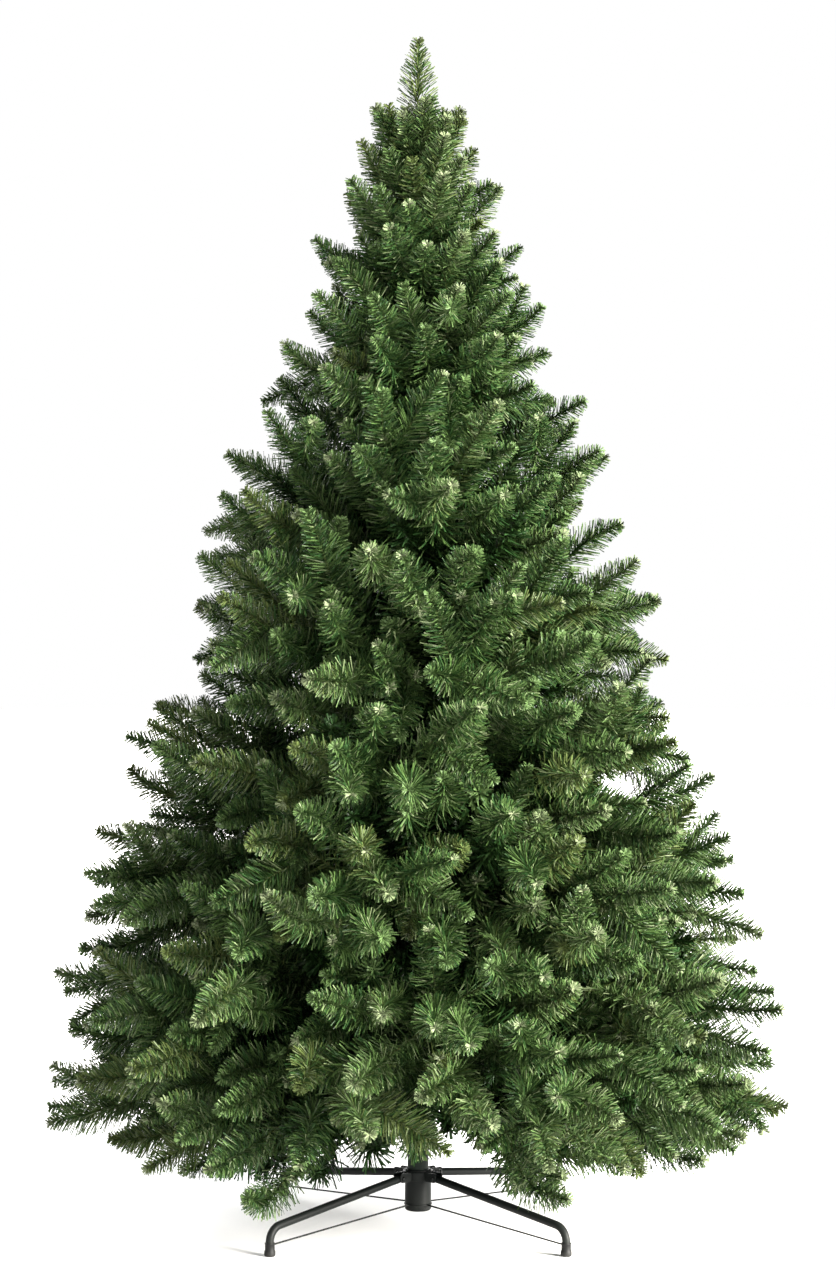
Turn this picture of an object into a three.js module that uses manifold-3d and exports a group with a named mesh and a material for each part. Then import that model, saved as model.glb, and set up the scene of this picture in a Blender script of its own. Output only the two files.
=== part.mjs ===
// An artificial christmas tree, 1.8 m tall, on a folding steel stand with four legs.
// Millimetres, +Z up. The origin is on the floor, on the axis of the pole, and the front faces -Y.
// The crown is made of tiers. Each tier has a ring of hinged boughs, and each bough carries one mass
// of foliage: a stem that branches into twigs, and a spray of needles at the end of every twig.
import * as THREE from "three";
import { mergeVertices } from "three/addons/utils/BufferGeometryUtils.js";
import Module from "manifold-3d";

const wasm = await Module();
wasm.setup();

// The whole tree
const TREE_HEIGHT = 1800;
const CROWN_RADIUS = 575;
const GAP = 0.3; // between pieces that touch

// The crown's outline: widest from the hem to the shoulder, and a slightly bulging cone above
const HEM_Z = 190;
const SHOULDER_Z = 330;
const CONE_POWER = 0.82;
const HEM_SLOPE = 1.35; // radius lost for each millimetre below the hem

// The tiers of boughs, from the lowest up
const BOUGHS_PER_TIER = [6, 6, 6, 5, 5, 4, 4];
const LOWEST_TIP_Z = 178;
const TIER_STEP = 173; // height between the tips of the two lowest tiers, nearly
const TIER_STEP_GROWTH = 5; // added to the step at each tier, halved
const LOWEST_RISE_DEG = -8; // the lowest boughs droop
const RISE_PER_TIER_DEG = 8; // and each tier stands steeper than the one below
const TIER_TURN_DEG = 37; // each tier is turned against the one below
const SPACE_MARGIN = 4; // kept clear inside the borders of each mass's space

// The pole, in three plugged sections with a ring of hinges at each tier
const POLE_TOP_Z = 1400;
const POLE_SECTIONS = [
  { top: 560, radius: 16 },
  { top: 1080, radius: 13.5 },
  { top: POLE_TOP_Z, radius: 9 },
];
const HINGE_RING_WIDTH = 9; // beyond the pole's wall
const HINGE_RING_HALF_HEIGHT = 6;
const POLE_SIDES = 12;

// Boughs, and the stems of the masses
const BOUGH_REACH = 165; // the lowest boughs are bare to here, from the axis
const BOUGH_RADIUS = 4.4;
const BOUGH_SIDES = 6;
const STEM_RADIUS = 3.6;
const STEM_TAPER = 0.7;
const STEM_SIDES = 5;
const STEM_ARCH = 14; // the stem's end lies this far above the straight line to the tip

// A spray of needles: a toothed blade that narrows to the flat twig behind it
const SPRAY_LENGTH = 215;
const SPRAY_HALF_WIDTH = 54;
const SPRAY_TAPER = 0.6; // how much narrower the last tooth is than the first
const SPRAY_CORE = 17; // half width of the blade between its teeth
const SPRAY_THICKNESS = 3.4;
const TEETH = 2; // on each side
const TOOTH_SWEEP = 0.9; // how far a tooth leans forward, as a share of the teeth's pitch
const TWIG_HALF_WIDTH = 2;
const MOST_OF_TWIG = 0.88; // the longest a spray can be, as a share of its twig
const MOST_OF_REACH = 0.62; // and as a share of the crown's radius there
const ROLL_DEG = 90; // most sprays stand on edge, give or take the scatter
const ROLL_SCATTER = 55;
const ROLL_TRIES = 4; // a spray that leaves its space is turned about its own axis, and then skipped

// The twigs of a mass, besides its end spray, from the lowest tier up. Each reaches for a place of its
// own on the crown's outline: evenly up the tier, and across the wedge by the golden ratio.
const TWIGS_PER_BOUGH = [5, 4, 3, 3, 3, 3, 3];
const GOLDEN = 0.618034;
const TWIG_SPREAD = 0.8; // of the half wedge
const HANGING_SPREAD = 0.15; // of the half wedge, for the lowest twigs of all, which hang under their stems
const TWIG_CLIMB = 0.8; // of the half tier
const TWIG_LEAN_DEG = 42; // between a twig and its stem
const FIRST_TWIG = 0.3; // twigs leave the stem between these shares of its length
const LAST_TWIG = 0.97;
const RECESS = 0.08; // the most that a twig's tip falls short of the outline

// The seeded rule: a repeatable number from 0 to 1 for each tier, bough, twig and kind of draw
const SCRAMBLE = [12.9898, 78.233, 37.719, 93.989];
const SCRAMBLE_SCALE = 43758.5453;
const DRAW = { turn: 1, recess: 3, roll: 4 };
const END_SPRAY = 9; // stands for the twig's number
const WHORL_TIER = 8; // stands for the tier's number at the top of the tree

// The top of the tree: whorls of sprays round the leader
const WHORLS = [
  { count: 5, root: 1425, tip: 1575 },
  { count: 4, root: 1500, tip: 1638 },
  { count: 3, root: 1580, tip: 1700 },
];
const WHORL_TURN_DEG = 25;
const LEADER_WIDTH = 0.75; // of a full spray
const TOP_WIDTH = 0.75;

// The stand
const TUBE_RADIUS = 20;
const TUBE_BOTTOM_Z = 22;
const TUBE_TOP_Z = 85;
const TUBE_FLOOR = 5;
const TUBE_EDGE = 4;
const TUBE_SIDES = 16;
const BEAD = 1.4; // the rolled bead stands out by this
const BEAD_Z = 32;
const COLLAR_WALL = 3;
const COLLAR_HALF_HEIGHT = 6.5;
const CHEEK = { from: 21.5, to: 46, thick: 2, half: 9 };
const RIVET = { at: 38, radius: 2.5, half: 10.5, sides: 6 };
const LEG_RADIUS = 6;
const LEG_SIDES = 8;
const LEG_ROOT = 28; // from the axis to the leg's inner end
const LEG_ROOT_Z = 76;
const LEG_SLOPE = 0.133;
const LEG_BEND = 22;
const LEG_BEND_STEPS = 6;
const FOOT_FROM_AXIS = 302;
const FOOT = { radius: 8.2, sleeve: 7.2, rim: 1.4, step: 7, height: 19.5, floor: 5, sides: 10 };
const BRACE_RADIUS = 1.3;
const BRACE_SIDES = 6;
const BRACE_FOOT_Z = 16;
const SCREW = { z: 79, shank: 2, nut: 3.7, nutFrom: 1.5, nutTo: 4.5, head: 4.4, headFrom: 9, length: 13 };
const SCREW_SIDES = 6;
const LEGS = [
  { name: "front_left", azimuth: -135 },
  { name: "front_right", azimuth: -45 },
  { name: "back_right", azimuth: 45 },
  { name: "back_left", azimuth: 135 },
];

const paint = (color, roughness, metalness) =>
  new THREE.MeshStandardMaterial({ color, roughness, metalness });
const standPaint = paint(0x2b302e, 0.45, 0.4);
const polePaint = paint(0x1d3325, 0.5, 0.3);
const rodPaint = paint(0x3a4a2c, 0.6, 0.2);
const footPlastic = paint(0x1c1e1e, 0.7, 0);
const screwSteel = paint(0x3b3d3c, 0.4, 0.8);
const needles = [0x2c5a30, 0x35652f, 0x27512f, 0x3f6b35].map((green) => paint(green, 0.6, 0));

const radians = THREE.MathUtils.degToRad;
const tree = new THREE.Group();

function chance(...numbers) {
  const sum = numbers.reduce((total, number, index) => total + number * SCRAMBLE[index], 0);
  return THREE.MathUtils.euclideanModulo(Math.sin(sum) * SCRAMBLE_SCALE, 1);
}

function rollOf(tier, place, twig) {
  return ROLL_DEG + ROLL_SCATTER * (2 * chance(tier, place, twig, DRAW.roll) - 1);
}

// A closed solid from a geometry, and back.
function solidOf(geometry) {
  const bare = geometry.clone();
  bare.deleteAttribute("normal");
  bare.deleteAttribute("uv");
  const merged = mergeVertices(bare, 1e-3);
  return new wasm.Manifold(
    new wasm.Mesh({
      numProp: 3,
      vertProperties: new Float32Array(merged.attributes.position.array),
      triVerts: new Uint32Array(merged.index.array),
    }),
  );
}

function geometryOf(solid) {
  const mesh = solid.getMesh();
  const geometry = new THREE.BufferGeometry();
  geometry.setAttribute("position", new THREE.BufferAttribute(mesh.vertProperties, 3));
  geometry.setIndex(new THREE.BufferAttribute(mesh.triVerts, 1));
  geometry.computeVertexNormals();
  return geometry;
}

// Everything fused into one solid, with its coplanar faces condensed. A loose scrap is dropped.
function fuse(solids) {
  const joined = solids.reduce((whole, piece) => whole.add(piece));
  const bodies = joined.decompose();
  const largest = bodies.reduce((best, body) => (body.volume() > best.volume() ? body : best));
  return largest.asOriginal().simplify();
}

function addMesh(name, geometry, material) {
  const mesh = new THREE.Mesh(geometry, material);
  mesh.name = name;
  tree.add(mesh);
  return mesh;
}

// A tapering rod from one point to another.
function rod(from, to, startRadius, endRadius, sides) {
  const along = new THREE.Vector3().subVectors(to, from);
  const geometry = new THREE.CylinderGeometry(endRadius, startRadius, along.length(), sides);
  const turn = new THREE.Quaternion().setFromUnitVectors(
    new THREE.Vector3(0, 1, 0),
    along.clone().normalize(),
  );
  geometry.applyQuaternion(turn);
  const middle = new THREE.Vector3().addVectors(from, to).multiplyScalar(0.5);
  return geometry.translate(middle.x, middle.y, middle.z);
}

function box(low, high) {
  const size = new THREE.Vector3().subVectors(high, low);
  const middle = new THREE.Vector3().addVectors(low, high).multiplyScalar(0.5);
  return new THREE.BoxGeometry(size.x, size.y, size.z).translate(middle.x, middle.y, middle.z);
}

// A turned piece. The profile is a list of [radius, height] that starts and ends on the axis or closes.
function turned(profile, sides) {
  const points = profile.map(([radius, height]) => new THREE.Vector2(radius, height));
  return new THREE.LatheGeometry(points, sides).rotateX(Math.PI / 2);
}

function around(azimuthDeg, radius, z) {
  const angle = radians(azimuthDeg);
  return new THREE.Vector3(radius * Math.cos(angle), radius * Math.sin(angle), z);
}

// The crown's shape. A level is a tier's number, and halves are the borders between tiers.
function crownRadius(z) {
  if (z < HEM_Z) return CROWN_RADIUS - HEM_SLOPE * (HEM_Z - z);
  if (z < SHOULDER_Z) return CROWN_RADIUS;
  const share = Math.max(0, (TREE_HEIGHT - z) / (TREE_HEIGHT - SHOULDER_Z));
  return CROWN_RADIUS * share ** CONE_POWER;
}

function tipZ(level) {
  return LOWEST_TIP_Z + TIER_STEP * level + TIER_STEP_GROWTH * level * level;
}

function rise(level) {
  return Math.tan(radians(LOWEST_RISE_DEG + RISE_PER_TIER_DEG * level));
}

function rootZ(level) {
  return tipZ(level) - crownRadius(tipZ(level)) * rise(level);
}

function heightAt(level, radius) {
  return rootZ(level) + radius * rise(level);
}

function poleRadius(z) {
  return POLE_SECTIONS.find((section) => z <= section.top).radius;
}

// The space of one mass: a wedge round the pole, between the borders of its tier.
function spaceOf(tier, place) {
  const wedge = 360 / BOUGHS_PER_TIER[tier];
  return { tier, place, azimuth: tier * TIER_TURN_DEG + place * wedge, half: wedge / 2 };
}

function isInside(space, point) {
  const radius = Math.hypot(point.x, point.y);
  const azimuth = THREE.MathUtils.radToDeg(Math.atan2(point.y, point.x));
  const off = Math.abs(THREE.MathUtils.euclideanModulo(azimuth - space.azimuth + 180, 360) - 180);
  const low = heightAt(space.tier - 0.5, radius) + SPACE_MARGIN;
  const high = heightAt(space.tier + 0.5, radius) - SPACE_MARGIN;
  const toSide = radius * Math.sin(radians(space.half - off));
  return off < space.half && toSide > SPACE_MARGIN && point.z > low && point.z < high;
}

// Half the outline of a spray on its twig, along +X from its root, with the teeth swept to the tip.
function spraySide(length, width) {
  const toothed = Math.min(SPRAY_LENGTH, length * MOST_OF_TWIG);
  const size = Math.sqrt(toothed / SPRAY_LENGTH);
  const pitch = toothed / (TEETH + 1);
  const side = [[0, TWIG_HALF_WIDTH]];
  for (let tooth = 0; tooth < TEETH; tooth += 1) {
    const base = length - toothed + pitch * tooth;
    const narrowing = 1 - (SPRAY_TAPER * tooth) / TEETH;
    const core = tooth === 0 ? TWIG_HALF_WIDTH : SPRAY_CORE * size * narrowing;
    side.push([base, core]);
    side.push([base + pitch * (1 + TOOTH_SWEEP / 2), width * size * narrowing]);
  }
  return side;
}

// A spray from its root to its tip. It lies level, and is rolled from there about its own axis.
function spray(root, tip, rollDeg, width = SPRAY_HALF_WIDTH) {
  const direction = new THREE.Vector3().subVectors(tip, root);
  const length = direction.length();
  direction.normalize();
  const side = spraySide(length, width);
  const outline = [...side, [length, 0], ...side.map(([x, y]) => [x, -y]).reverse()];
  const shape = new THREE.Shape(outline.map(([x, y]) => new THREE.Vector2(x, y)));
  const blade = new THREE.ExtrudeGeometry(shape, { depth: SPRAY_THICKNESS, bevelEnabled: false });
  blade.translate(0, 0, -SPRAY_THICKNESS / 2);
  const level = new THREE.Vector3(-direction.y, direction.x, 0);
  if (level.length() < 1e-3) level.set(1, 0, 0);
  const across = level.normalize().applyAxisAngle(direction, radians(rollDeg));
  const normal = new THREE.Vector3().crossVectors(direction, across);
  const place = new THREE.Matrix4().makeBasis(direction, across, normal).setPosition(root);
  return blade.applyMatrix4(place);
}

function pointsOf(geometry) {
  const positions = geometry.getAttribute("position");
  return Array.from({ length: positions.count }, (_, index) =>
    new THREE.Vector3().fromBufferAttribute(positions, index),
  );
}

// The spray in the first roll that keeps it in the mass's space, if any does.
function fittingSpray(space, root, tip, rollDeg) {
  for (let turn = 0; turn < ROLL_TRIES; turn += 1) {
    const leaf = spray(root, tip, rollDeg + (180 * turn) / ROLL_TRIES);
    const outer = pointsOf(leaf).filter((point) => point.distanceTo(root) > STEM_RADIUS * 2);
    if (outer.every((point) => isInside(space, point))) return leaf;
  }
  return null;
}

// The most that a spray or a twig's shortest stretch takes of the crown's radius at a tier.
function sprayReach(tier) {
  return Math.min(SPRAY_LENGTH, MOST_OF_REACH * crownRadius(tipZ(tier)));
}

// The limb of a tier's bough: its hinge on the pole, its fork, and its tip on the crown's outline.
function limbOf({ tier, azimuth }) {
  const hinge = poleRadius(rootZ(tier)) + HINGE_RING_WIDTH / 2;
  const reach = crownRadius(tipZ(tier));
  const fork = reach - sprayReach(tier);
  return {
    root: around(azimuth, hinge, rootZ(tier)),
    fork: around(azimuth, fork, heightAt(tier, fork) + STEM_ARCH),
    tip: around(azimuth, reach, tipZ(tier)),
  };
}

// The place where the bare end of a lowest bough stops, along its limb.
function boughEnd({ root, fork }) {
  const hinge = Math.hypot(root.x, root.y);
  const share = (BOUGH_REACH - hinge) / (Math.hypot(fork.x, fork.y) - hinge);
  return root.clone().lerp(fork, share);
}

// The tip of a twig on the crown's outline, inside the mass's space.
function twigTip(space, twig) {
  const { tier, place } = space;
  const count = TWIGS_PER_BOUGH[tier];
  const turn = (twig * GOLDEN + chance(tier, place, 0, DRAW.turn)) % 1;
  const spread = tier === 0 && twig === 0 ? HANGING_SPREAD : TWIG_SPREAD;
  const side = spread * (2 * turn - 1);
  const climb = TWIG_CLIMB * ((2 * twig + 1) / count - 1);
  const level = tier + climb / 2;
  const recess = RECESS * chance(tier, place, twig, DRAW.recess);
  const radius = crownRadius(tipZ(level)) * (1 - recess);
  return around(space.azimuth + side * space.half, radius, heightAt(level, radius));
}

// The place on the stem that a twig leaves from, so that it leans away from the stem.
function twigRoot(tier, start, fork, tip) {
  const stem = new THREE.Vector3().subVectors(fork, start);
  const reach = new THREE.Vector3().subVectors(tip, start);
  const along = reach.dot(stem) / stem.length();
  const aside = Math.sqrt(reach.lengthSq() - along ** 2);
  const back = Math.max(aside / Math.tan(radians(TWIG_LEAN_DEG)), sprayReach(tier));
  const share = THREE.MathUtils.clamp((along - back) / stem.length(), FIRST_TWIG, LAST_TWIG);
  return start.clone().addScaledVector(stem, share);
}

// One mass: the stem with its end spray, and the twigs that stay in the mass's space.
function foliage(space) {
  const { tier, place } = space;
  const { root, fork, tip } = limbOf(space);
  const along = new THREE.Vector3().subVectors(fork, root).normalize();
  const start = tier === 0 ? boughEnd({ root, fork }).addScaledVector(along, GAP) : root;
  const seated = fork.clone().addScaledVector(along, -STEM_RADIUS);
  const leaves = [fittingSpray(space, seated, tip, rollOf(tier, place, END_SPRAY))];
  for (let twig = 0; twig < TWIGS_PER_BOUGH[tier]; twig += 1) {
    const end = twigTip(space, twig);
    const from = twigRoot(tier, start, fork, end);
    leaves.push(fittingSpray(space, from, end, rollOf(tier, place, twig)));
  }
  const stem = solidOf(rod(start, fork, STEM_RADIUS, STEM_RADIUS * STEM_TAPER, STEM_SIDES));
  return fuse([stem.subtract(poleClearance), ...leaves.filter(Boolean).map(solidOf)]);
}

// The top of the tree: an upright leader with whorls of sprays round it.
function topFoliage() {
  const foot = new THREE.Vector3(0, 0, POLE_TOP_Z + GAP);
  const peak = new THREE.Vector3(0, 0, TREE_HEIGHT);
  const shoulder = new THREE.Vector3(0, 0, WHORLS[WHORLS.length - 1].root);
  const seated = shoulder.clone().setZ(shoulder.z - STEM_RADIUS);
  const pieces = [rod(foot, shoulder, STEM_RADIUS, STEM_RADIUS * STEM_TAPER, STEM_SIDES)];
  [0, 90].forEach((roll) => {
    pieces.push(spray(seated, peak, roll, SPRAY_HALF_WIDTH * LEADER_WIDTH));
  });
  WHORLS.forEach(({ count, root, tip }, whorl) => {
    for (let place = 0; place < count; place += 1) {
      const azimuth = (360 * place) / count + WHORL_TURN_DEG * whorl;
      const from = new THREE.Vector3(0, 0, root);
      const to = around(azimuth, crownRadius(tip), tip);
      pieces.push(spray(from, to, rollOf(WHORL_TIER, place, whorl), SPRAY_HALF_WIDTH * TOP_WIDTH));
    }
  });
  return fuse(pieces.map(solidOf));
}

function addCrown() {
  BOUGHS_PER_TIER.forEach((count, tier) => {
    for (let place = 0; place < count; place += 1) {
      const green = needles[(tier + place) % needles.length];
      const mass = geometryOf(foliage(spaceOf(tier, place)));
      addMesh(`foliage_tier${tier + 1}_${place + 1}`, mass, green);
    }
  });
  addMesh("foliage_top", geometryOf(topFoliage()), needles[0]);
}

// The bare inner end of each of the lowest boughs, from its hinge ring to its mass of foliage.
function addBoughs() {
  for (let place = 0; place < BOUGHS_PER_TIER[0]; place += 1) {
    const limb = limbOf(spaceOf(0, place));
    const bough = solidOf(rod(limb.root, boughEnd(limb), BOUGH_RADIUS, STEM_RADIUS, BOUGH_SIDES));
    addMesh(`bough_${place + 1}`, geometryOf(fuse([bough.subtract(poleClearance)])), rodPaint);
  }
}

// The pole's profile climbs from the stand to the tip, and steps out at each hinge ring. It can be
// grown by a clearance.
function poleProfile(clearance) {
  const foot = TUBE_BOTTOM_Z + TUBE_FLOOR + GAP;
  const profile = [[0, foot - clearance]];
  POLE_SECTIONS.forEach(({ top, radius }, index) => {
    const bottom = index === 0 ? foot - clearance : POLE_SECTIONS[index - 1].top + clearance;
    const wall = radius + clearance;
    const ring = wall + HINGE_RING_WIDTH;
    const half = HINGE_RING_HALF_HEIGHT + clearance;
    profile.push([wall, bottom]);
    BOUGHS_PER_TIER.map((_, tier) => rootZ(tier))
      .filter((z) => z > bottom && z <= top)
      .forEach((z) => profile.push([wall, z - half], [ring, z - half], [ring, z + half], [wall, z + half]));
    profile.push([wall, top + clearance]);
  });
  profile.push([0, POLE_TOP_Z + clearance]);
  return profile;
}

// The socket of the stand, closed at its bottom, with a rolled bead that the braces hook over.
function addStandTube() {
  const bore = POLE_SECTIONS[0].radius + GAP;
  const profile = [
    [0, TUBE_BOTTOM_Z],
    [TUBE_RADIUS - TUBE_EDGE, TUBE_BOTTOM_Z],
    [TUBE_RADIUS, TUBE_BOTTOM_Z + TUBE_EDGE],
    [TUBE_RADIUS, BEAD_Z - BEAD],
    [TUBE_RADIUS + BEAD, BEAD_Z],
    [TUBE_RADIUS, BEAD_Z + BEAD],
    [TUBE_RADIUS, TUBE_TOP_Z],
    [bore, TUBE_TOP_Z],
    [bore, TUBE_BOTTOM_Z + TUBE_FLOOR],
    [0, TUBE_BOTTOM_Z + TUBE_FLOOR],
  ];
  addMesh("stand_tube", turned(profile, TUBE_SIDES), standPaint);
}

// The collar that the legs hang on: a ring with a pair of cheeks and a rivet for each leg.
function addLegCollar() {
  const inner = TUBE_RADIUS + GAP;
  const outer = inner + COLLAR_WALL;
  const low = LEG_ROOT_Z - COLLAR_HALF_HEIGHT;
  const high = LEG_ROOT_Z + COLLAR_HALF_HEIGHT;
  const ring = [
    [inner, low],
    [outer, low],
    [outer, high],
    [inner, high],
    [inner, low],
  ];
  const pieces = [solidOf(turned(ring, TUBE_SIDES))];
  const gap = LEG_RADIUS + GAP;
  LEGS.forEach(({ azimuth }) => {
    const parts = [-1, 1].map((side) => {
      const near = side * gap;
      const far = side * (gap + CHEEK.thick);
      return box(
        new THREE.Vector3(CHEEK.from, Math.min(near, far), LEG_ROOT_Z - CHEEK.half),
        new THREE.Vector3(CHEEK.to, Math.max(near, far), LEG_ROOT_Z + CHEEK.half),
      );
    });
    parts.push(rivet(RIVET.radius));
    parts.forEach((part) => pieces.push(solidOf(part.rotateZ(radians(azimuth)))));
  });
  addMesh("leg_collar", geometryOf(fuse(pieces)), standPaint);
}

// The cross pin of a leg, in the leg's own upright plane along +X.
function rivet(radius) {
  const z = LEG_ROOT_Z - LEG_SLOPE * (RIVET.at - LEG_ROOT);
  const from = new THREE.Vector3(RIVET.at, -RIVET.half, z);
  const to = new THREE.Vector3(RIVET.at, RIVET.half, z);
  return rod(from, to, radius, radius, RIVET.sides);
}

// A path through given points, so that an extrusion has its rings just there.
class Polyline extends THREE.Curve {
  constructor(points) {
    super();
    this.points = points;
  }

  getPointAt(share) {
    return this.points[Math.round(share * (this.points.length - 1))].clone();
  }

  getTangentAt(share) {
    const index = Math.round(share * (this.points.length - 1));
    const tangent = new THREE.Vector3();
    [index - 1, index]
      .filter((from) => from >= 0 && from < this.points.length - 1)
      .forEach((from) => {
        const step = new THREE.Vector3().subVectors(this.points[from + 1], this.points[from]);
        tangent.add(step.normalize());
      });
    return tangent.normalize();
  }
}

// The line that a leg follows in its upright plane: a gentle slope, a bend, and straight down.
function legPoints() {
  const slope = Math.atan(LEG_SLOPE);
  const bendX = FOOT_FROM_AXIS - LEG_BEND;
  const startX = bendX + LEG_BEND * Math.sin(slope);
  const startZ = LEG_ROOT_Z - LEG_SLOPE * (startX - LEG_ROOT);
  const bendZ = startZ - LEG_BEND * Math.cos(slope);
  const points = [new THREE.Vector3(LEG_ROOT, 0, LEG_ROOT_Z)];
  for (let step = 0; step <= LEG_BEND_STEPS; step += 1) {
    const angle = slope + ((Math.PI / 2 - slope) * step) / LEG_BEND_STEPS;
    const x = bendX + LEG_BEND * Math.sin(angle);
    points.push(new THREE.Vector3(x, 0, bendZ + LEG_BEND * Math.cos(angle)));
  }
  points.push(new THREE.Vector3(FOOT_FROM_AXIS, 0, FOOT.floor + GAP));
  return points;
}

function addLegs() {
  const points = legPoints();
  const section = new THREE.Shape().absarc(0, 0, LEG_RADIUS, 0, 2 * Math.PI, false);
  const tube = new THREE.ExtrudeGeometry(section, {
    steps: points.length - 1,
    curveSegments: LEG_SIDES / 2,
    bevelEnabled: false,
    extrudePath: new Polyline(points),
  });
  const hole = solidOf(rivet(RIVET.radius + GAP));
  const geometry = geometryOf(fuse([solidOf(tube).subtract(hole)]));
  LEGS.forEach(({ name, azimuth }) => {
    addMesh(`leg_${name}`, geometry, standPaint).rotation.z = radians(azimuth);
  });
}

// Feet: plastic caps that the ends of the legs stand in, with a sleeve above a wider base.
function addFeet() {
  const { radius, sleeve, rim, step, height, floor, sides } = FOOT;
  const bore = LEG_RADIUS + GAP;
  const profile = [
    [0, 0],
    [radius - rim, 0],
    [radius, rim],
    [radius, step],
    [sleeve, step + rim],
    [sleeve, height],
    [bore, height],
    [bore, floor],
    [0, floor],
  ];
  LEGS.forEach(({ name, azimuth }) => {
    const foot = addMesh(`foot_${name}`, turned(profile, sides), footPlastic);
    foot.position.copy(around(azimuth, FOOT_FROM_AXIS, 0));
  });
}

// Braces: thin rods from the bead of the tube to the foot of each leg.
function addBraces() {
  const from = new THREE.Vector3(TUBE_RADIUS + BEAD + GAP, 0, BEAD_Z);
  const to = new THREE.Vector3(FOOT_FROM_AXIS - FOOT.sleeve - GAP, 0, BRACE_FOOT_Z);
  const brace = rod(from, to, BRACE_RADIUS, BRACE_RADIUS, BRACE_SIDES);
  LEGS.forEach(({ name, azimuth }) => {
    addMesh(`brace_${name}`, brace, standPaint).rotation.z = radians(azimuth);
  });
}

// The clamp screw in the collar: a shank with a nut near the wall and a round head at its end. It is
// turned about Z, and then laid along +X.
function addClampScrew() {
  const { z, shank, nut, nutFrom, nutTo, head, headFrom, length } = SCREW;
  const profile = [
    [0, 0],
    [shank, 0],
    [shank, nutFrom],
    [nut, nutFrom],
    [nut, nutTo],
    [shank, nutTo],
    [shank, headFrom],
    [head, headFrom],
    [head, length],
    [0, length],
  ];
  const screw = addMesh("clamp_screw", turned(profile, SCREW_SIDES), screwSteel);
  screw.rotation.y = Math.PI / 2;
  screw.position.set(TUBE_RADIUS + GAP + COLLAR_WALL + GAP, 0, z);
}

// What stays clear of the pole is cut by this.
const poleClearance = solidOf(turned(poleProfile(GAP / Math.cos(Math.PI / POLE_SIDES)), POLE_SIDES));

addStandTube();
addLegCollar();
addLegs();
addFeet();
addBraces();
addClampScrew();
addMesh("trunk_pole", turned(poleProfile(0), POLE_SIDES), polePaint);
addBoughs();
addCrown();

export default tree;
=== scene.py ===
"""An artificial christmas tree on a folding stand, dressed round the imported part.

Metres, +Z up. The origin is on the floor, on the axis of the pole, and the front faces -Y. The canopy
grows by the same seeded rule as the solids, carried on to finer twigs: every bough has a stem, the stem
has twigs, and each twig has an end spray and side sprays of needles round a twisted wire.
"""

import math
from typing import NamedTuple

import bpy
import numpy as np
from mathutils import Matrix, Vector


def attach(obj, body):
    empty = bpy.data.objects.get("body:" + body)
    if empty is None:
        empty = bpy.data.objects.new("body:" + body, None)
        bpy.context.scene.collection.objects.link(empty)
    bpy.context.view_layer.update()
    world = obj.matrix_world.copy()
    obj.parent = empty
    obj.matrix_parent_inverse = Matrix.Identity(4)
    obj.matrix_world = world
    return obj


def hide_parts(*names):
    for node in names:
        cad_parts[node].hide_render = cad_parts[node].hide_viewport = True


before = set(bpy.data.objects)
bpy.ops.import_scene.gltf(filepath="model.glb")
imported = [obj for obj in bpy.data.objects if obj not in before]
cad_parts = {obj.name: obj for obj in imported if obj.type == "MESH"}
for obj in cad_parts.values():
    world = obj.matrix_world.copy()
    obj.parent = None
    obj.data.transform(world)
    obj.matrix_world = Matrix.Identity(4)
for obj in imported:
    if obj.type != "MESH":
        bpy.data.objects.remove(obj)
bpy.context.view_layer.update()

bl_info = {
    "name": "Artificial Christmas Tree",
    "version": (1, 0, 0),
    "blender": (4, 5, 0),
    "location": "View3D > Sidebar > Tree",
    "description": "Makes the foliage, the pole and the folding stand of an artificial tree",
    "category": "Add Mesh",
}

UP = Vector((0, 0, 1))

# The whole tree, as in the solids
TREE_HEIGHT = 1.8
CANOPY_RADIUS = 0.575
HEM_Z = 0.19
SHOULDER_Z = 0.33
CONE_POWER = 0.82
HEM_SLOPE = 1.35

# The tiers of boughs, from the lowest up
BOUGHS_PER_TIER = (6, 6, 6, 5, 5, 4, 4)
LOWEST_TIP_Z = 0.178
TIER_STEP = 0.173
TIER_STEP_GROWTH = 0.005
LOWEST_RISE_DEG = -8
RISE_PER_TIER_DEG = 8
TIER_TURN_DEG = 37

# The twigs
SPRAY_LENGTH = 0.215
STEM_ARCH = 0.014
MOST_OF_REACH = 0.62
TWIGS_PER_BOUGH = (5, 4, 3, 3, 3, 3, 3)
GOLDEN = 0.618034
TWIG_SPREAD = 0.8
HANGING_SPREAD = 0.15
TWIG_CLIMB = 0.8
TWIG_LEAN_DEG = 42
FIRST_TWIG = 0.3
LAST_TWIG = 0.97
FINE_CLIMB = 1.25
RECESS = 0.08

# The seeded rule
SCRAMBLE = (12.9898, 78.233, 37.719, 93.989)
SCRAMBLE_SCALE = 43758.5453
DRAW_TURN = 1
DRAW_RECESS = 3
DRAW_SAG = 5
DRAW_MIX = 6
DRAW_SIDE_TURN = 8
DRAW_SIDE_LENGTH = 9
DRAW_SIZE = 10
DRAW_STRAY = 20
DRAW_FINE_SIDE = 11
DRAW_FINE_LEVEL = 13
DRAW_FINE_RECESS = 17
DRAW_PALE = 19
STEM = 7
LEADER = 8
END_SPRAY = 9
WHORL_TIER = 8

# The pole
POLE_FOOT_Z = 0.0273
POLE_SECTIONS = ((0.56, 0.016), (1.08, 0.0135), (1.4, 0.009))
POLE_TOP_Z = 1.4
POLE_SIDES = 48
POLE_EDGE = 0.001
PLUG_PLAY = 0.0004
PLUG_SINK = 0.0005
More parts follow.
